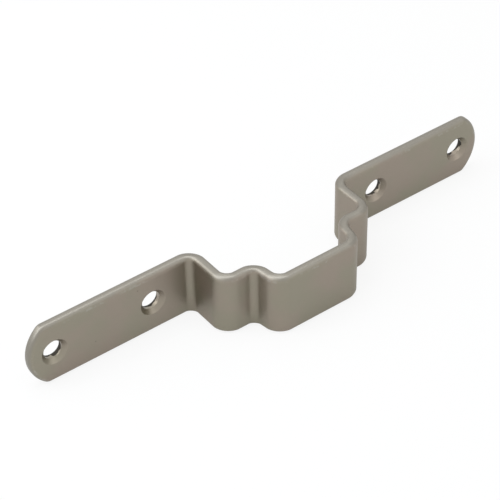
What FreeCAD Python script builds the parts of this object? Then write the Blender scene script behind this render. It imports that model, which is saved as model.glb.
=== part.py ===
import FreeCAD, Part
import math
import os
import Sketcher

V = FreeCAD.Vector

# Pull-out stabilizer bracket: one flat steel strip, folded into a stepped hat between two screw wings.
# Origin midway between the wings on the plane of their back faces, which lie on the door panel.
# +X runs along the strip, +Y points into the door panel, +Z runs across the strip's width.

# Driving sizes in millimetres, with the lean and the countersink's angle in degrees
size = {
    "strip_width": 20,
    "thickness": 3,
    "outer_channel": 48,
    "front_flat": 21,
    "first_step": 15,
    "second_step": 9,
    "inner_web_lean": 8,
    "bend_inside": 2.25,
    "inner_spacing": 80,
    "hole_pitch": 32,
    "end_margin": 8,
    "end_rise": 5,
    "end_corner": 2.5,
    "edge_round": 1,
    "hole_diameter": 5.8,
    "countersink_diameter": 8.2,
    "countersink_angle": 90,
    "rim_round": 0.25,
}

doc = FreeCAD.newDocument("stabilizer_bracket")
spec = doc.addObject("Spreadsheet::Sheet", "Spec")
for row, (name, value) in enumerate(size.items(), start=1):
    spec.set(f"A{row}", name)
    spec.set(f"B{row}", str(value))
    spec.setAlias(f"B{row}", name)
doc.recompute()

body = doc.addObject("PartDesign::Body", "bracket")
body.Label = "bracket"
body.Placement = FreeCAD.Placement()

# Where a constraint takes hold of a line or an arc, and the sketch's own origin and axes
start, end, middle = range(1, 4)
level_axis, upright_axis = range(-1, -3, -1)


def origin_plane(role):
    return next(item for item in body.Origin.OriginFeatures if item.Role == role)


def new_sketch(name, role):
    sketch = body.newObject("Sketcher::SketchObject", name)
    sketch.AttachmentSupport = [(origin_plane(role), "")]
    sketch.MapMode = "FlatFace"
    return sketch


def fix(sketch, *constraint):
    return sketch.addConstraint(Sketcher.Constraint(*constraint))


def bind(sketch, name, formula, *constraint):
    """Add a sized constraint to the sketch and tie it to the sheet."""
    sketch.renameConstraint(fix(sketch, *constraint), name)
    sketch.setExpression(f"Constraints.{name}", formula)


# Folded profile
# Seen from above, the right half of the strip's edge: front plate, leaning web, ledge, square web, wing.
# The wing's length follows its two screw holes, with a margin from the outer one to the tip.
width, thick = size["strip_width"], size["thickness"]
inside = size["bend_inside"]
outside = inside + thick
lean = math.radians(size["inner_web_lean"])
inner_hole = size["inner_spacing"] / 2
outer_hole = inner_hole + size["hole_pitch"]
tip = outer_hole + size["end_margin"]
tip_formula = "Spec.inner_spacing / 2 + Spec.hole_pitch + Spec.end_margin"
ledge = -size["first_step"]
plate = ledge - size["second_step"]

# Centres of the four bends, which each pair of arcs shares
plate_bend = V(size["front_flat"] / 2, plate + inside, 0)
throat_drop = (ledge - outside) - plate_bend.y
throat_shift = (inside + outside + throat_drop * math.sin(lean)) / math.cos(lean)
throat_bend = V(plate_bend.x + throat_shift, ledge - outside, 0)
ledge_bend = V(size["outer_channel"] / 2 - inside, ledge + inside, 0)
wing_bend = V(ledge_bend.x + inside + outside, -outside, 0)
web_normal = V(math.cos(lean), -math.sin(lean), 0)

profile = new_sketch("folded_profile", "XY_Plane")


def line(a, b):
    return profile.addGeometry(Part.LineSegment(a, b))


def bend(centre, radius, first, last):
    """An arc that turns anticlockwise between two directions, in radians."""
    return profile.addGeometry(Part.ArcOfCircle(Part.Circle(centre, V(0, 0, 1), radius), first, last))


down, right, up, left = -math.pi / 2, 0, math.pi / 2, math.pi


def side(y_wing, plate_r, throat_r, ledge_r, wing_r):
    """One long edge of the strip from the middle to the wing: five straights joined by four bends."""
    plate_end = plate_bend - V(0, plate_r, 0)
    web_low = plate_bend + web_normal * plate_r
    web_high = throat_bend - web_normal * throat_r
    ledge_near = throat_bend + V(0, throat_r, 0)
    ledge_far = ledge_bend - V(0, ledge_r, 0)
    return {
        "plate": line(V(0, plate_end.y, 0), plate_end),
        "plate_bend": bend(plate_bend, plate_r, down, -lean),
        "inner_web": line(web_low, web_high),
        "throat_bend": bend(throat_bend, throat_r, up, left - lean),
        "ledge": line(ledge_near, ledge_far),
        "ledge_bend": bend(ledge_bend, ledge_r, down, right),
        "outer_web": line(ledge_bend + V(ledge_r, 0, 0), wing_bend - V(wing_r, 0, 0)),
        "wing_bend": bend(wing_bend, wing_r, up, left),
        "wing": line(wing_bend + V(0, wing_r, 0), V(tip, y_wing, 0)),
    }


back = side(0, inside, outside, inside, outside)
front = side(-thick, outside, inside, outside, inside)
wing_tip = line(V(tip, 0, 0), V(tip, -thick, 0))
centre_cut = line(V(0, plate - thick, 0), V(0, plate, 0))

# The plate and ledge bends turn towards the door and the other two away from it, so the arcs swap ends
seams = [
    ("plate", end, "plate_bend", start),
    ("plate_bend", end, "inner_web", start),
    ("inner_web", end, "throat_bend", end),
    ("throat_bend", start, "ledge", start),
    ("ledge", end, "ledge_bend", start),
    ("ledge_bend", end, "outer_web", start),
    ("outer_web", end, "wing_bend", end),
    ("wing_bend", start, "wing", start),
]
for edge in (back, front):
    for one, one_end, two, two_end in seams:
        fix(profile, "Tangent", edge[one], one_end, edge[two], two_end)
    for flat in ("plate", "ledge", "wing"):
        fix(profile, "Horizontal", edge[flat])
    fix(profile, "Vertical", edge["outer_web"])
    fix(profile, "PointOnObject", edge["plate"], start, upright_axis)
for turn in ("plate_bend", "throat_bend", "ledge_bend", "wing_bend"):
    fix(profile, "Coincident", back[turn], middle, front[turn], middle)
fix(profile, "Parallel", back["inner_web"], front["inner_web"])
fix(profile, "Coincident", back["wing"], end, wing_tip, start)
fix(profile, "Coincident", wing_tip, end, front["wing"], end)
fix(profile, "Vertical", wing_tip)
fix(profile, "Coincident", front["plate"], start, centre_cut, start)
fix(profile, "Coincident", centre_cut, end, back["plate"], start)
fix(profile, "PointOnObject", back["wing"], end, level_axis)

# Every bend has the same inside radius, on whichever face of the strip is the inner one
bind(profile, "bend_inside", "Spec.bend_inside", "Radius", back["plate_bend"], inside)
for inner in (front["throat_bend"], back["ledge_bend"], front["wing_bend"]):
    fix(profile, "Equal", back["plate_bend"], inner)
bind(profile, "thickness", "Spec.thickness",
     "DistanceY", front["plate"], start, back["plate"], start, thick)
bind(profile, "half_length", tip_formula, "DistanceX", level_axis, start, back["wing"], end, tip)
bind(profile, "half_front_flat", "Spec.front_flat / 2",
     "DistanceX", back["plate"], start, back["plate"], end, plate_bend.x)
bind(profile, "half_outer_channel", "Spec.outer_channel / 2",
     "DistanceX", level_axis, start, back["outer_web"], start, ledge_bend.x + inside)
bind(profile, "first_step", "Spec.first_step",
     "DistanceY", back["ledge"], end, level_axis, start, -ledge)
bind(profile, "second_step", "Spec.second_step",
     "DistanceY", back["plate"], end, back["ledge"], start, ledge - plate)
bind(profile, "inner_web_angle", "(90 - Spec.inner_web_lean) * 1 deg",
     "Angle", level_axis, start, back["inner_web"], start, math.pi / 2 - lean)

strip = body.newObject("PartDesign::Pad", "folded_strip")
strip.Profile = profile
strip.SideType = "Symmetric"
strip.setExpression("Length", "Spec.strip_width")

# Rounded tip
# The wing ends in a shallow arc. The sketch is the waste beyond it, seen from the front.
trim = new_sketch("tip_waste", "XZ_Plane")
half_width = width / 2
arc_foot = tip - size["end_rise"]
waste_edge = tip + thick
crown = trim.addGeometry(Part.Arc(V(arc_foot, -half_width, 0), V(tip, 0, 0), V(arc_foot, half_width, 0)))
crown_peak = trim.addGeometry(Part.Point(V(tip, 0, 0)), True)
corners = [V(arc_foot, half_width, 0), V(arc_foot, width, 0), V(waste_edge, width, 0),
           V(waste_edge, -width, 0), V(arc_foot, -width, 0), V(arc_foot, -half_width, 0)]
waste = [trim.addGeometry(Part.LineSegment(a, b)) for a, b in zip(corners, corners[1:])]
upper_foot, above, beyond, below, lower_foot = waste
fix(trim, "Coincident", crown, end, upper_foot, start)
for one, two in zip(waste, waste[1:]):
    fix(trim, "Coincident", one, end, two, start)
fix(trim, "Coincident", lower_foot, end, crown, start)
for upright in (upper_foot, lower_foot):
    fix(trim, "Vertical", upright)
for level in (above, below):
    fix(trim, "Horizontal", level)
fix(trim, "PointOnObject", crown, middle, level_axis)
fix(trim, "Vertical", crown, start, crown, end)
fix(trim, "Symmetric", beyond, start, beyond, end, level_axis)
fix(trim, "PointOnObject", crown_peak, start, crown)
fix(trim, "PointOnObject", crown_peak, start, level_axis)
bind(trim, "half_length", tip_formula, "DistanceX", level_axis, start, crown_peak, start, tip)
bind(trim, "end_rise", "Spec.end_rise", "DistanceX", crown, end, crown_peak, start, tip - arc_foot)
bind(trim, "strip_width", "Spec.strip_width", "DistanceY", crown, start, crown, end, width)
bind(trim, "waste_beyond", "Spec.thickness",
     "DistanceX", crown_peak, start, beyond, start, waste_edge - tip)
bind(trim, "waste_height", "Spec.strip_width", "DistanceY", level_axis, start, beyond, start, width)

tip_cut = body.newObject("PartDesign::Pocket", "tip_cut")
tip_cut.Profile = trim
tip_cut.SideType = "Symmetric"
tip_cut.Type = "ThroughAll"

# Screw holes
# Two countersunk holes in the wing, opened from its front face, on the strip's middle line.
screws = new_sketch("screw_centres", "XZ_Plane")
screws.setExpression("AttachmentOffset.Base.z", "Spec.thickness")
hole_radius = size["hole_diameter"] / 2
near, far = [screws.addGeometry(Part.Circle(V(x, 0, 0), V(0, 0, 1), hole_radius))
             for x in (inner_hole, outer_hole)]
for hole in (near, far):
    fix(screws, "PointOnObject", hole, middle, level_axis)
fix(screws, "Equal", near, far)
bind(screws, "hole_diameter", "Spec.hole_diameter", "Diameter", near, size["hole_diameter"])
bind(screws, "inner_hole", "Spec.inner_spacing / 2",
     "DistanceX", level_axis, start, near, middle, inner_hole)
bind(screws, "hole_pitch", "Spec.hole_pitch",
     "DistanceX", near, middle, far, middle, size["hole_pitch"])
doc.recompute()

screw_holes = body.newObject("PartDesign::Hole", "screw_holes")
screw_holes.Profile = screws
screw_holes.ThreadType = "None"
screw_holes.DepthType = "ThroughAll"
screw_holes.HoleCutType = "Countersink"
screw_holes.HoleCutCustomValues = True
screw_holes.setExpression("Diameter", "Spec.hole_diameter")
screw_holes.setExpression("HoleCutDiameter", "Spec.countersink_diameter")
screw_holes.setExpression("HoleCutCountersinkAngle", "Spec.countersink_angle")
doc.recompute()

# The left half is the right half mirrored
both_halves = body.newObject("PartDesign::Mirrored", "both_halves")
both_halves.Originals = [strip, tip_cut, screw_holes]
both_halves.MirrorPlane = (origin_plane("YZ_Plane"), [""])
body.Tip = both_halves
doc.recompute()


# Softened edges
# The cut strip is tumbled: blunt tip corners, well rounded long edges, a slight round on each screw rim.
close = 0.01


def edges_where(feature, test):
    return [f"Edge{i}" for i, edge in enumerate(feature.Shape.Edges, start=1) if test(edge)]


def is_tip_corner(edge):
    """Where a long edge of the strip meets the arc of its tip: a short edge through the thickness."""
    centre = edge.CenterOfMass
    on_long_edge = abs(abs(centre.z) - half_width) < close
    return on_long_edge and abs(abs(centre.x) - arc_foot) < close


def is_tip_arc(edge):
    """The arc of a tip, on either broad face. Rounding it runs on along both outlines of the strip."""
    box = edge.BoundBox
    reaches_tip = max(box.XMax, -box.XMin) > tip - close
    return reaches_tip and box.YLength < close


def is_screw_rim(edge):
    """The mouth of a countersink, on the wing's front face."""
    if not isinstance(edge.Curve, Part.Circle):
        return False
    on_front = abs(edge.CenterOfMass.y + thick) < close
    return on_front and abs(edge.Curve.Radius - size["countersink_diameter"] / 2) < close


tip_corners = body.newObject("PartDesign::Fillet", "tip_corners")
tip_corners.Base = (both_halves, edges_where(both_halves, is_tip_corner))
tip_corners.setExpression("Radius", "Spec.end_corner")
doc.recompute()

long_edges = body.newObject("PartDesign::Fillet", "long_edges")
long_edges.Base = (tip_corners, edges_where(tip_corners, is_tip_arc))
long_edges.setExpression("Radius", "Spec.edge_round")
doc.recompute()

screw_rims = body.newObject("PartDesign::Fillet", "screw_rims")
screw_rims.Base = (long_edges, edges_where(long_edges, is_screw_rim))
screw_rims.setExpression("Radius", "Spec.rim_round")
body.Tip = screw_rims
doc.recompute()

# Checks
for item in doc.Objects:
    if "Invalid" in item.State or "Error" in item.State:
        raise SystemExit(f"{item.Name} did not rebuild: {item.State}")
    if item.isDerivedFrom("Sketcher::SketchObject") and item.solve() != 0:
        raise SystemExit(f"{item.Name} is not solved")
shape = body.Shape
if shape.isNull() or not shape.isValid() or len(shape.Solids) != 1:
    raise SystemExit("the bracket is not one valid solid")
if tip_cut.Shape.Volume >= strip.Shape.Volume or screw_holes.Shape.Volume >= tip_cut.Shape.Volume:
    raise SystemExit("a cut removed nothing")

os.makedirs("parts", exist_ok=True)
shape.exportStep("parts/bracket.step")
box = shape.optimalBoundingBox()
print(f"bracket {box.XLength:.2f} x {box.YLength:.2f} x {box.ZLength:.2f} mm, volume {shape.Volume:.1f} mm3")
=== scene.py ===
import math

import bmesh
import bpy
from mathutils import Matrix, Vector


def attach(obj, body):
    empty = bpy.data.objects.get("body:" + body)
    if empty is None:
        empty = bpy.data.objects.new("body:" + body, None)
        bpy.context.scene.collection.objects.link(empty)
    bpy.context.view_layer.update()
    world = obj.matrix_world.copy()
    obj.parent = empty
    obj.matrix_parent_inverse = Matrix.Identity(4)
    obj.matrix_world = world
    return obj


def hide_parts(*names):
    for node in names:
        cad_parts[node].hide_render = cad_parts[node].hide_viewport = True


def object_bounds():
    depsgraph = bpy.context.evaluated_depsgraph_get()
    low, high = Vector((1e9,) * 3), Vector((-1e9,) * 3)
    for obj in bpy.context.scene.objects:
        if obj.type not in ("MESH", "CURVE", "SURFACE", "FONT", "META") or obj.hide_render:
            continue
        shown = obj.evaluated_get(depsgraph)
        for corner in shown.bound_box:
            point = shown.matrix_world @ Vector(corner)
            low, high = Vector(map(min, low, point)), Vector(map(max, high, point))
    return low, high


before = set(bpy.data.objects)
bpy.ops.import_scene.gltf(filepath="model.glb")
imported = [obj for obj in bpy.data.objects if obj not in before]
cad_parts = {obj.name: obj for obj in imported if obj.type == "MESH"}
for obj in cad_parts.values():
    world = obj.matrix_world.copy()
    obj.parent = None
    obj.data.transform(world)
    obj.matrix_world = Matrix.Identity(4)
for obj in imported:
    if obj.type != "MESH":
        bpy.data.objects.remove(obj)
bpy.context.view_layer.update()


# The bracket's blank: cut from 20 x 3 mm flat steel bar, with a shallow arc for each end and two countersunk
# screw holes in each wing, and tumbled until its edges are round. It is made flat here, and the press strokes
# fold it.
strip_width = 0.020
thickness = 0.003
half_width = strip_width / 2
half_thick = thickness / 2

# Folded sizes: a square web drops from each wing to a ledge, and a leaning web from there to the front plate
half_length = 0.080
inner_spacing = 0.048
outer_drop = 0.015
inner_drop = 0.009
web_lean = 8
inside_radius = 0.00225
bend_radius = inside_radius + half_thick
square_turn = math.radians(90)
web_turn = math.radians(90 - web_lean)

# Flats between the bends, measured along the middle of the strip, from the plate's middle to a wing's tip
half_channel = inner_spacing / 2 + half_thick
square_arc = bend_radius * square_turn
web_arc = bend_radius * web_turn
plate_flat = 0.0105
inner_web_flat = (inner_drop - 2 * bend_radius * (1 - math.cos(web_turn))) / math.sin(web_turn)
throat_reach = plate_flat + 2 * bend_radius * math.sin(web_turn) + inner_web_flat * math.cos(web_turn)
ledge_flat = half_channel - bend_radius - throat_reach
outer_web_flat = outer_drop - 2 * bend_radius
wing_flat = half_length - half_channel - bend_radius

plate_fold = plate_flat
throat_fold = plate_fold + web_arc + inner_web_flat
ledge_fold = throat_fold + web_arc + ledge_flat
wing_fold = ledge_fold + square_arc + outer_web_flat
blank_end = wing_fold + square_arc + wing_flat

# Stations along the strip: close together in the bends and wider apart on the flats
flat_step = 0.0007
bend_step = bend_radius * math.radians(3.75)
wing_root = 0.002
wing_root_step = 0.0004
wing_step = 0.0013
stations = [0.0]


def run_to(reach, step):
    """Adds even stations from the last one to the reach, about a step apart."""
    last = stations[-1]
    count = max(1, round((reach - last) / step))
    stations.extend(last + (reach - last) * i / count for i in range(1, count + 1))


folds = ((plate_fold, web_arc), (throat_fold, web_arc), (ledge_fold, square_arc), (wing_fold, square_arc))
for fold, arc in folds:
    run_to(fold, flat_step)
    run_to(fold + arc, bend_step)
run_to(stations[-1] + wing_root, wing_root_step)
wing_start = len(stations) - 1

# Outline of the blank: points with their outward directions, clockwise from the middle of the upper edge
end_rise = 0.005
tip_radius = (half_width**2 + end_rise**2) / (2 * end_rise)
tip_centre = blank_end - tip_radius
tip_steps = 16
corner_radius = 0.0025
corner_up = half_width - corner_radius
corner_out = math.sqrt((tip_radius - corner_radius) ** 2 - corner_up**2)
corner_turn = math.atan2(corner_up, corner_out)
corner_steps = 8
run_to(tip_centre + corner_out, wing_step)


def on_arc(along, up, radius, turn):
    """A point of the outline on an arc about a centre, with its outward direction."""
    out = (math.cos(turn), math.sin(turn))
    return (along + radius * out[0], up + radius * out[1]), out


quarter = [((u, half_width), (0.0, 1.0)) for u in stations[:-1]]
for i in range(corner_steps + 1):
    turn = math.pi / 2 + (corner_turn - math.pi / 2) * i / corner_steps
    quarter.append(on_arc(tip_centre + corner_out, corner_up, corner_radius, turn))
for i in range(1, tip_steps + 1):
    quarter.append(on_arc(tip_centre, 0.0, tip_radius, corner_turn * (1 - i / tip_steps)))


def turned(along, across):
    """The quarter of the outline, mirrored along or across the strip where a sign is negative."""
    return [((along * u, across * z), (along * a, across * b)) for (u, z), (a, b) in quarter]


outline = quarter + turned(1, -1)[-2::-1] + turned(-1, -1)[1:] + turned(-1, 1)[-2:0:-1]
total = len(outline)
half_way = total // 2

# The edge's section: a small round at the back face, and at the front face the broad roll-over that the shear
# leaves along the upper edge, fading to a small round below. The bends that squeeze the front face fill it up.
# Each step also marks the rim, whose colour is painted darker and cooler as painted shade, and which is scuffed.
edge_round = 0.0010
roll_width = 0.0018
roll_depth = 0.0013
margin = 0.00015
edge_steps = 9
edge_turns = [math.pi / 2 * i / edge_steps for i in range(edge_steps + 1)]
squeezed_folds = folds[1::2]
fill_share = 0.55
fill_fade = 0.001


def edge_section(front_width, front_depth):
    """Steps of (inwards from the outline, through the thickness, mark of the rim), from back to front."""
    back = [(1 - math.sin(turn), 1 - math.cos(turn), math.sin(turn)) for turn in edge_turns]
    front = [(1 - math.cos(turn), 1 - math.sin(turn), math.cos(turn)) for turn in edge_turns]
    return [
        (edge_round + margin, half_thick, 0.0),
        *((edge_round * inwards, half_thick - edge_round * down, mark) for inwards, down, mark in back),
        *((front_width * inwards, front_depth * down - half_thick, mark) for inwards, down, mark in front),
        (front_width + margin, -half_thick, 0.0),
    ]


def filled_up(u):
    """1 in a bend that squeezes the front face, and 0 from a short way beside it."""
    beside = min(max(fold - abs(u), abs(u) - fold - arc) for fold, arc in squeezed_folds)
    return min(max(1 - beside / fill_fade, 0.0), 1.0)


blank = bmesh.new()
bore = blank.verts.layers.float.new("bore")
rim = blank.verts.layers.float.new("rim")


def band(first, second, closed=True):
    """Faces between two rows with as many vertices."""
    for i in range(len(first) - (0 if closed else 1)):
        j = (i + 1) % len(first)
        blank.faces.new((first[i], first[j], second[j], second[i]))


rings = []
for upper_step, lower_step in zip(edge_section(roll_width, roll_depth), edge_section(edge_round, edge_round)):
    ring = []
    for (u, z), (a, b) in outline:
        roll = (1 + b) / 2 * (1 - fill_share * filled_up(u))
        inset, depth, mark = Vector(lower_step).lerp(Vector(upper_step), roll)
        ring.append(blank.verts.new((u - inset * a, depth, z - inset * b)))
        ring[-1][rim] = mark
    rings.append(ring)
for first, second in zip(rings, rings[1:]):
    band(first, second)

# Screw holes: a cone from the front face, a punched bore that widens slightly to the back face, and a slight
# round on every lip. The bore's wall is marked with its share of the way back, because the punch burnishes the
# metal and then tears it; the torn back of the bore is also painted near-black as shade.
screw_places = [blank_end - from_tip for from_tip in (0.008, 0.040)]
hole_radius = 0.0029
bore_taper = 0.00008
bore_lip = 0.00012
bore_margin = 0.0005
sink_radius = 0.0041
sink_depth = sink_radius - hole_radius
sink_lip = 0.00025
sink_margin = 0.0004
lip_steps = 5
hole_sides = 72
hole_turns = [2 * math.pi * i / hole_sides for i in range(hole_sides)]


def rounded(path, radii):
    """A path of (radius, depth) points with its inner points rounded."""
    points = [path[0]]
    for previous, here, following, r in zip(path, path[1:], path[2:], radii):
        back = (Vector(previous) - Vector(here)).normalized()
        ahead = (Vector(following) - Vector(here)).normalized()
        half_angle = back.angle(ahead) / 2
        centre = Vector(here) + (back + ahead).normalized() * (r / math.sin(half_angle))
        first = Vector(here) + back * (r / math.tan(half_angle)) - centre
        last = Vector(here) + ahead * (r / math.tan(half_angle)) - centre
        for i in range(lip_steps + 1):
            points.append(tuple(centre + first.lerp(last, i / lip_steps).normalized() * r))
    return points + [path[-1]]


hole_path = rounded(
    [
        (sink_radius + sink_margin, -half_thick),
        (sink_radius, -half_thick),
        (hole_radius, -half_thick + sink_depth),
        (hole_radius + bore_taper, half_thick),
        (hole_radius + bore_margin, half_thick),
    ],
    (sink_lip, bore_lip, bore_lip),
)
lips = {}
for side in (1, -1):
    for place in screw_places:
        circles = []
        for radius, depth in hole_path:
            way_back = max(depth + half_thick - sink_depth, 0.0) / (thickness - sink_depth)
            on_wall = radius < hole_radius + bore_taper * 1.5
            circle = []
            for turn in hole_turns:
                at = (side * place + radius * math.cos(turn), depth, radius * math.sin(turn))
                circle.append(blank.verts.new(at))
                circle[-1][bore] = way_back if on_wall else 0.0
            circles.append(circle)
        for first, second in zip(circles, circles[1:]):
            band(first, second)
        lips[side, place] = {-half_thick: circles[0], half_thick: circles[-1]}

# Broad faces: a grid over the folded middle, and each wing filled around its screw holes
rows = 8
for ring, depth in ((rings[0], half_thick), (rings[-1], -half_thick)):
    columns = {}
    for i in range(-wing_start, wing_start + 1):
        upper, lower = ring[i], ring[(half_way - i) % total]
        inner = [
            blank.verts.new((upper.co.x, depth, upper.co.z + (lower.co.z - upper.co.z) * k / rows))
            for k in range(1, rows)
        ]
        columns[i] = [upper, *inner, lower]
    for i in range(-wing_start, wing_start):
        band(columns[i], columns[i + 1], closed=False)
    for side, along in (
        (1, range(wing_start, half_way - wing_start)),
        (-1, range(half_way + wing_start, total - wing_start)),
    ):
        root = columns[side * wing_start]
        pairs = [(ring[i], ring[(i + 1) % total]) for i in along] + list(zip(root, root[1:]))
        for place in screw_places:
            lip = lips[side, place][depth]
            pairs += zip(lip, lip[1:] + lip[:1])
        border = [blank.edges.get(pair) or blank.edges.new(pair) for pair in pairs]
        bmesh.ops.triangle_fill(blank, use_beauty=True, edges=border)

bmesh.ops.recalc_face_normals(blank, faces=blank.faces)
for face in blank.faces:
    face.smooth = True
flat_blank = bpy.data.objects.new("flat_blank", bpy.data.meshes.new("flat_blank"))
blank.to_mesh(flat_blank.data)
blank.free()
bpy.context.scene.collection.objects.link(flat_blank)


class Wire:
    """A value on its way through a node tree. Arithmetic on it adds the Math nodes that work it out."""

    def __init__(self, socket):
        self.socket = socket

    @staticmethod
    def node(tree, kind, settings=None, values=None, output=0):
        """Adds a node: its settings, then the value or wire of each socket. Gives one output as a wire."""
        made = tree.nodes.new(kind)
        for name, setting in (settings or {}).items():
            setattr(made, name, setting)
        for name, value in (values or {}).items():
            if isinstance(value, Wire):
                tree.links.new(value.socket, made.inputs[name])
            else:
                made.inputs[name].default_value = value
        return Wire(made.outputs[output]) if made.outputs else None

    def other(self, output):
        """Another output of the node that this wire comes from."""
        return Wire(self.socket.node.outputs[output])

    def math(self, operation, first, second=0.0):
        return Wire.node(self.socket.id_data, "ShaderNodeMath", {"operation": operation}, {0: first, 1: second})

    def __add__(self, value):
        return self.math("ADD", self, value)

    __radd__ = __add__

    def __sub__(self, value):
        return self.math("SUBTRACT", self, value)

    def __rsub__(self, value):
        return self.math("SUBTRACT", value, self)

    def __mul__(self, value):
        return self.math("MULTIPLY", self, value)

    __rmul__ = __mul__

    def __truediv__(self, value):
        return self.math("DIVIDE", self, value)

    def __rtruediv__(self, value):
        return self.math("DIVIDE", value, self)

    def __abs__(self):
        return self.math("ABSOLUTE", self)

    def step(self, low, high):
        """Rises smoothly from 0 at low to 1 at high."""
        return Wire.node(
            self.socket.id_data, "ShaderNodeMapRange", {"interpolation_type": "SMOOTHSTEP"},
            {"Value": self, "From Min": low, "From Max": high},
        )


def add_sockets(group, in_out, kind, *names):
    """Named inputs or outputs of a node group, all of one kind."""
    for name in names:
        group.interface.new_socket(name=name, in_out=in_out, socket_type="NodeSocket" + kind)


# Press stroke: past its fold line, on both halves at once, the strip wraps round the tool and then runs on
# straight. A positive turn folds it to the back. Squeezed metal swells a little at the edges on the inside of
# the bend, and stretched metal draws in on the outside.
edge_sizes = ("Half width", "Half thickness", "Edge swell", "Edge draw")
strain_fade = (-0.35, 0.25)
edge_share = 0.72
press = bpy.data.node_groups.new("press_stroke", "GeometryNodeTree")
add_sockets(press, "INPUT", "Geometry", "Strip")
add_sockets(press, "INPUT", "Float", "Fold line", "Turn", "Radius", *edge_sizes)
add_sockets(press, "OUTPUT", "Geometry", "Folded")
given = Wire.node(press, "NodeGroupInput", output="Strip")
fold_line, radius = given.other("Fold line"), given.other("Radius")
full_turn = abs(given.other("Turn"))
way = given.math("SIGN", given.other("Turn"))
place_x = Wire.node(press, "ShaderNodeSeparateXYZ", values={0: Wire.node(press, "GeometryNodeInputPosition")})
place_y, place_z = place_x.other("Y"), place_x.other("Z")
past_line = abs(place_x) - fold_line
past_turn = past_line / radius
wrapped = given.math("MINIMUM", given.math("MAXIMUM", past_turn, 0.0), full_turn)
run_on = past_line - radius * wrapped
arm = radius - way * place_y
sine, cosine = given.math("SINE", wrapped), given.math("COSINE", wrapped)
in_bend = past_turn.step(*strain_fade) * (full_turn - past_turn).step(*strain_fade)
near_edge = abs(place_z).step(given.other("Half width") * edge_share, given.other("Half width"))
squeezed = in_bend * way * place_y / given.other("Half thickness")
bulge = given.math("MAXIMUM", squeezed, 0.0) * given.other("Edge swell")
pinch = given.math("MINIMUM", squeezed, 0.0) * given.other("Edge draw")
crown = given.math("SINE", wrapped / full_turn * math.pi)
swell = (bulge + pinch) * crown * near_edge * given.math("SIGN", place_z)
folded_place = Wire.node(press, "ShaderNodeCombineXYZ", values={
    "X": given.math("SIGN", place_x) * (fold_line + arm * sine + run_on * cosine),
    "Y": way * (radius - arm * cosine + run_on * sine),
    "Z": place_z + swell,
})
stretch = Wire.node(press, "GeometryNodeInputNamedAttribute", {"data_type": "FLOAT"}, {"Name": "stretch"})
marked = Wire.node(
    press, "GeometryNodeStoreNamedAttribute", {"data_type": "FLOAT", "domain": "POINT"},
    {"Geometry": given, "Name": "stretch", "Value": stretch - squeezed},
)
moved = Wire.node(press, "GeometryNodeSetPosition", values={"Geometry": marked, "Position": folded_place})
Wire.node(press, "NodeGroupOutput", values={"Folded": moved})

# Four pairs of strokes, from the wings inwards, fold the blank into the stepped hat
fold_sizes = {
    "Bend radius": bend_radius,
    "Half width": half_width,
    "Half thickness": half_thick,
    "Edge swell": 0.0002,
    "Edge draw": 0.00028,
    "Wing fold": wing_fold,
    "Ledge fold": ledge_fold,
    "Throat fold": throat_fold,
    "Plate fold": plate_fold,
    "Wing turn": -square_turn,
    "Ledge turn": square_turn,
    "Throat turn": -web_turn,
    "Plate turn": web_turn,
    "Plate depth": outer_drop + inner_drop + half_thick,
}
folding = bpy.data.node_groups.new("fold_strip", "GeometryNodeTree")
add_sockets(folding, "INPUT", "Geometry", "Blank")
add_sockets(folding, "INPUT", "Float", *fold_sizes)
add_sockets(folding, "INPUT", "Material", "Plating")
add_sockets(folding, "OUTPUT", "Geometry", "Bracket")
given = Wire.node(folding, "NodeGroupInput", output="Blank")
strip = given
for name in ("Wing", "Ledge", "Throat", "Plate"):
    strip = Wire.node(folding, "GeometryNodeGroup", {"node_tree": press}, {
        "Strip": strip,
        "Fold line": given.other(f"{name} fold"),
        "Turn": given.other(f"{name} turn"),
        "Radius": given.other("Bend radius"),
        **{size: given.other(size) for size in edge_sizes},
    })
set_back = Wire.node(folding, "ShaderNodeCombineXYZ", values={"Y": 0.0 - given.other("Plate depth")})
strip = Wire.node(folding, "GeometryNodeTransform", values={"Geometry": strip, "Translation": set_back})
strip = Wire.node(folding, "GeometryNodeRealizeInstances", values={"Geometry": strip})
strip = Wire.node(folding, "GeometryNodeSetMaterial", values={
    "Geometry": strip, "Material": given.other("Plating"),
})
Wire.node(folding, "NodeGroupOutput", values={"Bracket": strip})

# Satin nickel plating: a warm grey metal, faintly mottled, with a few dull specks and the fine grain that
# tumbling leaves under it. The rims are painted darker and cooler than the faces, as painted shade along the
# edges, with pale scuffs along their roll-over, the bends are duller where they strained the steel, and the
# bores are raggedly torn and rougher towards the back, where they are painted near-black as shade.
nickel_shades = ((0.290, 0.268, 0.211, 1.0), (0.310, 0.266, 0.220, 1.0))
# Painted shade: a darker, cooler colour for the rims along the edges
rim_painted_shade = (0.2625, 0.2455, 0.2125, 1.0)
scuffed_nickel = (0.40, 0.385, 0.35, 1.0)
dull_speck = (0.12, 0.10, 0.08, 1.0)
# Painted shade: near-black colour for the torn back of the bores
torn_steel_shade = (0.025, 0.023, 0.02, 1.0)
satin_roughness = 0.39
plating = bpy.data.materials.new("satin_nickel")


def empty_tree(owner):
    """The node tree of a material or of the world, cleared."""
    owner.use_nodes = True
    owner.node_tree.nodes.clear()
    return owner.node_tree


tree = empty_tree(plating)
spot = Wire.node(tree, "ShaderNodeTexCoord", output="Object")


def noise(scale, detail, roughness=0.5):
    """Soft noise, from 0 to 1 and mostly about 0.5, with so many cells in a metre."""
    return Wire.node(tree, "ShaderNodeTexNoise", values={
        "Vector": spot, "Scale": scale, "Detail": detail, "Roughness": roughness,
    })


def mark_of(name):
    """A mark that the blank or a press stroke stored on the mesh."""
    return Wire.node(tree, "ShaderNodeAttribute", {"attribute_name": name}, output="Fac")


def blend(share, first, second):
    """Turns the first colour into the second as the share rises."""
    return Wire.node(tree, "ShaderNodeMix", {"data_type": "RGBA"}, {0: share, 6: first, 7: second}, output=2)


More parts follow.
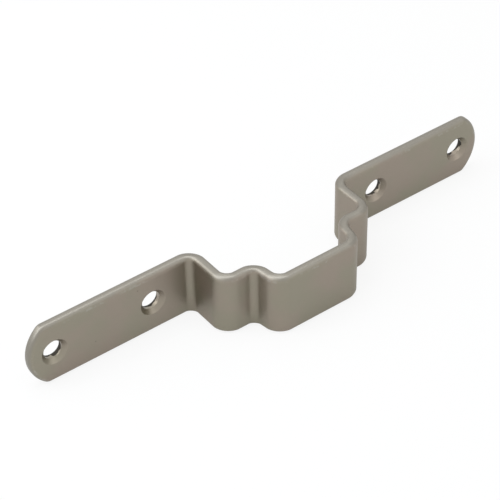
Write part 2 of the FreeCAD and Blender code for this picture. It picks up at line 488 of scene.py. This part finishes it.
clouds = noise(70.0, 3.0).step(0.35, 0.65)
blotches = noise(190.0, 4.0, 0.6)
grain = noise(2600.0, 3.0, 0.6)
ripple = noise(420.0, 2.0)
rim_wear_and_shade = mark_of("rim")
# Where the rims are painted darker and cooler as shade; the same rim mark also places the wear scuffs
painted_rim_shade = (rim_wear_and_shade + blotches * 0.5 - 0.25).step(0.3, 1.0)
scuffs = rim_wear_and_shade.step(0.05, 0.3) * (1.0 - rim_wear_and_shade.step(0.35, 0.75)) * noise(480.0, 3.0, 0.6).step(0.5, 0.7)
cells = Wire.node(tree, "ShaderNodeTexVoronoi", {"feature": "F1"}, {
    "Vector": spot, "Scale": 85.0, "Randomness": 1.0,
}, output="Distance")
specks = 1.0 - cells.step(0.012, 0.035)
punched = mark_of("bore")
burnished = punched.step(0.0, 0.08)
# The torn back of each bore: rougher steel, and painted near-black there as shade
torn_and_painted_shade = burnished * (punched + ripple * 2.4 - 1.2).step(0.46, 0.60)
strained = abs(mark_of("stretch"))

colour = blend(clouds, *nickel_shades)
# Painted shade along the rims
colour = blend(painted_rim_shade, colour, rim_painted_shade)
colour = blend(scuffs * 0.5, colour, scuffed_nickel)
colour = blend(specks * 0.55, colour, dull_speck)
# Painted shade deep in the bores
colour = blend(torn_and_painted_shade * 0.9, colour, torn_steel_shade)
roughness = satin_roughness + blotches * 0.06 + strained * 0.03 + specks * 0.15
roughness = roughness - burnished * 0.08 + torn_and_painted_shade * 0.25
bump = Wire.node(tree, "ShaderNodeBump", values={
    "Strength": 0.35, "Distance": 0.00003, "Height": grain + ripple * 2.0,
})
skin = Wire.node(tree, "ShaderNodeBsdfPrincipled", values={
    "Base Color": colour, "Metallic": 1.0, "Roughness": roughness, "Normal": bump,
})
Wire.node(tree, "ShaderNodeOutputMaterial", values={"Surface": skin})

press_work = flat_blank.modifiers.new("press_work", "NODES")
press_work.node_group = folding
sockets = {item.name: item.identifier for item in folding.interface.items_tree if item.in_out == "INPUT"}
for name, value in fold_sizes.items():
    press_work[sockets[name]] = value
press_work[sockets["Plating"]] = plating
evaluated = flat_blank.evaluated_get(bpy.context.evaluated_depsgraph_get())
bracket = bpy.data.objects.new("folded_bracket", bpy.data.meshes.new_from_object(evaluated))
bracket.data.name = "folded_bracket"
bpy.context.scene.collection.objects.link(bracket)
flat_blank.modifiers.remove(press_work)
bpy.data.objects.remove(flat_blank)
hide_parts("bracket")
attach(bracket, "root")


# The floor: a plain white table top that the bracket stands on, on its long narrow edge. It shows nearly white
# to the camera and less so in the metal, keeps the bracket's soft shadow, and fades into the white backdrop far
# out.
floor_size = 3.0
camera_white = 0.85
mirrored_white = 0.35
fade_reach = (0.25, 0.9)
floor_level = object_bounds()[0].z
bpy.ops.mesh.primitive_plane_add(size=floor_size, location=(0.0, 0.0, floor_level))
floor = bpy.context.object
floor.name = "white_table"
floor_finish = bpy.data.materials.new("white_table")
tree = empty_tree(floor_finish)


def ray_kinds():
    """1 on the rays that the camera sends out, and 1 on those that a surface mirrors or lets through."""
    seen = Wire.node(tree, "ShaderNodeLightPath", output="Is Camera Ray")
    return seen, seen.math("MAXIMUM", seen.other("Is Glossy Ray"), seen.other("Is Transmission Ray"))


seen, mirrored = ray_kinds()
spot = Wire.node(tree, "ShaderNodeTexCoord", output="Object")
from_middle = Wire.node(tree, "ShaderNodeVectorMath", {"operation": "LENGTH"}, {0: spot}, output="Value")
seen_white = seen * (camera_white + from_middle.step(*fade_reach) * (1 - camera_white))
whiteness = seen.math("MAXIMUM", seen_white, mirrored * mirrored_white)
matt = Wire.node(tree, "ShaderNodeBsdfDiffuse", values={"Color": (0.88, 0.88, 0.875, 1.0)})
bright = Wire.node(tree, "ShaderNodeEmission", values={"Color": (1.0, 1.0, 1.0, 1.0), "Strength": 1.0})
Wire.node(tree, "ShaderNodeOutputMaterial", values={
    "Surface": Wire.node(tree, "ShaderNodeMixShader", values={0: whiteness, 1: matt, 2: bright}),
})
floor.data.materials.append(floor_finish)

# The light: a pale tent all round, which shows pure white to the camera and in the metal, and soft boxes aimed
# at the bracket, two large ones above and to the left and three small ones that light its edges and webs.
world = bpy.data.worlds.new("tent")
bpy.context.scene.world = world
tree = empty_tree(world)
seen, mirrored = ray_kinds()
tent = Wire.node(tree, "ShaderNodeBackground", values={"Color": (1.0, 0.98, 0.95, 1.0), "Strength": 0.5})
backdrop = Wire.node(tree, "ShaderNodeBackground", values={"Color": (1.0, 1.0, 1.0, 1.0), "Strength": 1.0})
shown = seen.math("MAXIMUM", seen, mirrored)
Wire.node(tree, "ShaderNodeOutputWorld", values={
    "Surface": Wire.node(tree, "ShaderNodeMixShader", values={0: shown, 1: tent, 2: backdrop}),
})
cool_light = (0.95, 1.0, 1.06)
plain_light = (1.0, 1.0, 1.0)


def soft_box(name, place, size, watts, colour):
    """A rectangular lamp, turned towards the middle of the bracket."""
    lamp = bpy.data.lights.new(name, "AREA")
    lamp.shape = "RECTANGLE"
    lamp.size, lamp.size_y = size
    lamp.energy = watts
    lamp.color = colour
    holder = bpy.data.objects.new(name, lamp)
    holder.location = place
    holder.rotation_euler = (-Vector(place)).to_track_quat("-Z", "Y").to_euler()
    bpy.context.scene.collection.objects.link(holder)


soft_box("top_box", (0.0, 0.0, 1.0), (0.7, 0.7), 3.1, cool_light)
soft_box("left_box", (-0.75, 0.1, 0.75), (0.7, 1.0), 4.8, cool_light)
soft_box("back_left_box", (-0.28, 0.24, 0.26), (0.28, 0.28), 0.31, plain_light)
soft_box("back_box", (0.11, 0.18, 0.40), (0.28, 0.28), 0.14, plain_light)
soft_box("front_right_box", (0.18, -0.32, 0.26), (0.28, 0.28), 0.13, plain_light)

# The camera: it stands where the photograph's did, in front of the bracket, to the left and above, and is tilted
# a little. Its place, tilt and lens were fitted to the outline, bends and holes measured in the photograph.
photo_width = 500
focal_pixels = 1823.849
sensor_width = 36.0
azimuth, elevation, tilt = (math.radians(angle) for angle in (-36.169, 40.628, -1.267))
distance, shift_right, shift_up = 0.522843, -0.003459, -0.003140
right = Vector((math.cos(azimuth), math.sin(azimuth), 0.0))
backward = Vector((
    math.sin(azimuth) * math.cos(elevation),
    -math.cos(azimuth) * math.cos(elevation),
    math.sin(elevation),
))
upward = backward.cross(right)
tilted_right = math.cos(tilt) * right + math.sin(tilt) * upward
tilted_up = math.cos(tilt) * upward - math.sin(tilt) * right
stand = distance * backward + shift_right * tilted_right + shift_up * tilted_up
camera = bpy.data.objects.new("camera", bpy.data.cameras.new("camera"))
camera.data.sensor_width = sensor_width
camera.data.lens = focal_pixels / photo_width * sensor_width
facing = Matrix((tilted_right, tilted_up, backward)).transposed().to_4x4()
camera.matrix_world = Matrix.Translation(stand) @ facing
bpy.context.scene.collection.objects.link(camera)
bpy.context.scene.camera = camera
bpy.context.scene.view_settings.view_transform = "Standard"
